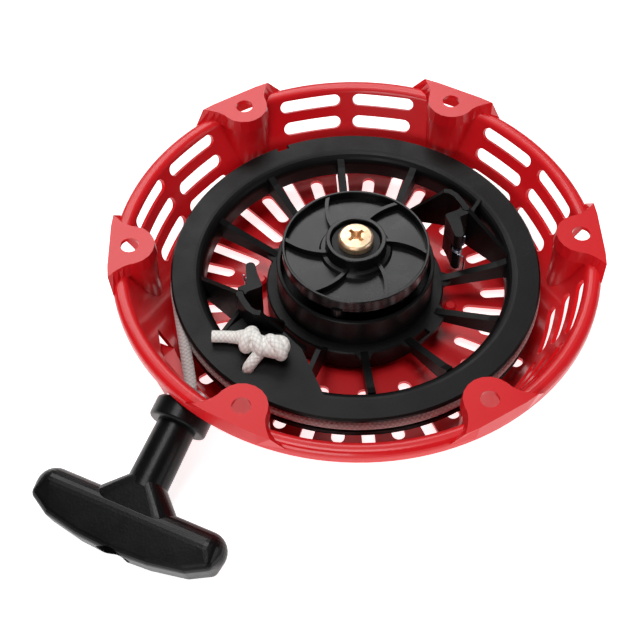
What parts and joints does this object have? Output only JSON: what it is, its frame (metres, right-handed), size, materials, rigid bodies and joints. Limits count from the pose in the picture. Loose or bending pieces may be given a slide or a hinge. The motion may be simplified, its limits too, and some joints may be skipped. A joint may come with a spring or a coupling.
{
  "type": "recoil starter",
  "caption": "Pull-cord recoil starter for a small engine: pressed bowl case with vent slots and bolt ears, sprung rope reel, swing-out ratchets under a guide cap, and a T grip on the rope.",
  "frame": {"origin": "centre of the bolt circle, on the mounting plane that the tops of the ears lie in", "axes": "+Z along the reel's axis, out of the open engine side; +X through one ear; the rope leaves towards -X and -Y"},
  "size_m": [0.2136, 0.2174, 0.0436],
  "materials": {
    "case_paint": "gloss red enamel over pressed steel",
    "steel": "bright zinc plate",
    "spring_steel": "blued spring strip and wire",
    "screw_zinc": "yellow zinc plate",
    "washer_black": "black oxide",
    "rope_braid": "braided starter cord, pale mauve grey",
    "knot_braid": "braided cord, clean off-white",
    "reel_plastic": "moulded black, satin",
    "guide_plastic": "moulded black, semi-gloss",
    "ratchet_plastic": "moulded black, satin",
    "grip_plastic": "moulded black, semi-gloss"
  },
  "bodies": {
    "case": {"case_shell": "case_paint", "spindle_post": "steel", "thrust_washer": "steel", "friction_spring": "spring_steel", "screw_washer": "washer_black", "guide_screw": "screw_zinc", "rope_guide": "steel", "rope_lead": "rope_braid"},
    "reel": {"reel": "reel_plastic", "recoil_spring": "spring_steel", "rope_coil": "rope_braid", "rope_knot": "knot_braid", "ratchet_pin_a": "steel", "ratchet_pin_b": "steel", "ratchet_spring_a": "spring_steel", "ratchet_spring_b": "spring_steel"},
    "guide": {"ratchet_guide": "guide_plastic"},
    "ratchet_a": {"ratchet_a": "ratchet_plastic"},
    "ratchet_b": {"ratchet_b": "ratchet_plastic"},
    "grip": {"grip": "grip_plastic", "grip_rope": "rope_braid", "grip_knot": "rope_braid"}
  },
  "joints": [
    {"name": "reel_spin", "type": "hinge", "parent": "case", "child": "reel", "pos_m": [0, 0, -0.02], "axis": [0, 0, 1], "range_deg": [0, 1080], "stiffness_Nm_per_rad": 0.05, "springref_deg": -802.14, "deforming": ["recoil_spring"]},
    {"name": "grip_pull", "type": "slide", "parent": "case", "child": "grip", "axis": [-0.4303, -0.8668, -0.2521], "range_m": [0, 1.25]},
    {"name": "guide_turn", "type": "hinge", "parent": "reel", "child": "guide", "pos_m": [0, 0, -0.006], "axis": [0, 0, 1], "range_deg": [0, 30]},
    {"name": "ratchet_a_swing", "type": "hinge", "parent": "reel", "child": "ratchet_a", "pos_m": [0.0406, 0.0069, -0.0097], "axis": [0, 0, 1], "range_deg": [0, 24]},
    {"name": "ratchet_b_swing", "type": "hinge", "parent": "reel", "child": "ratchet_b", "pos_m": [-0.0406, -0.0069, -0.0097], "axis": [0, 0, 1], "range_deg": [0, 24]}
  ],
  "couplings": [
    {"joint": "grip_pull", "follows": "reel_spin", "m_per_rad": 0.066},
    {"joint": "ratchet_a_swing", "follows": "guide_turn", "ratio": 0.8},
    {"joint": "ratchet_b_swing", "follows": "guide_turn", "ratio": 0.8}
  ]
}
